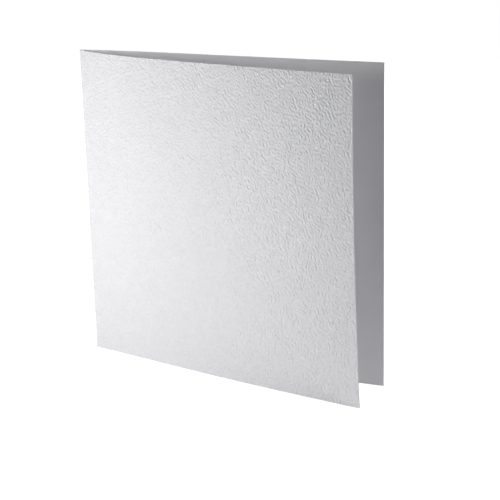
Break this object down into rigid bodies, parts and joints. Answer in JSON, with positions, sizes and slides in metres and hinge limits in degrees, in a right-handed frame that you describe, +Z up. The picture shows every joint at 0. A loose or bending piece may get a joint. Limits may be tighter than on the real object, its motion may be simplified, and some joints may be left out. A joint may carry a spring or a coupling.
{
  "type": "greeting card",
  "caption": "Blank square folded greeting card in textured white board, standing half open on its edges.",
  "frame": {"origin": "foot of the fold line, on the surface that the card stands on", "axes": "+Z up along the fold, +X from the fold between the leaves to the free edges, front leaf on the -Y side"},
  "size_m": [0.1476, 0.0324, 0.148],
  "materials": {
    "card_board": "matt white board, hammered on the outside and smooth inside"
  },
  "bodies": {
    "root": {"folded_card": "card_board"}
  },
  "joints": []
}
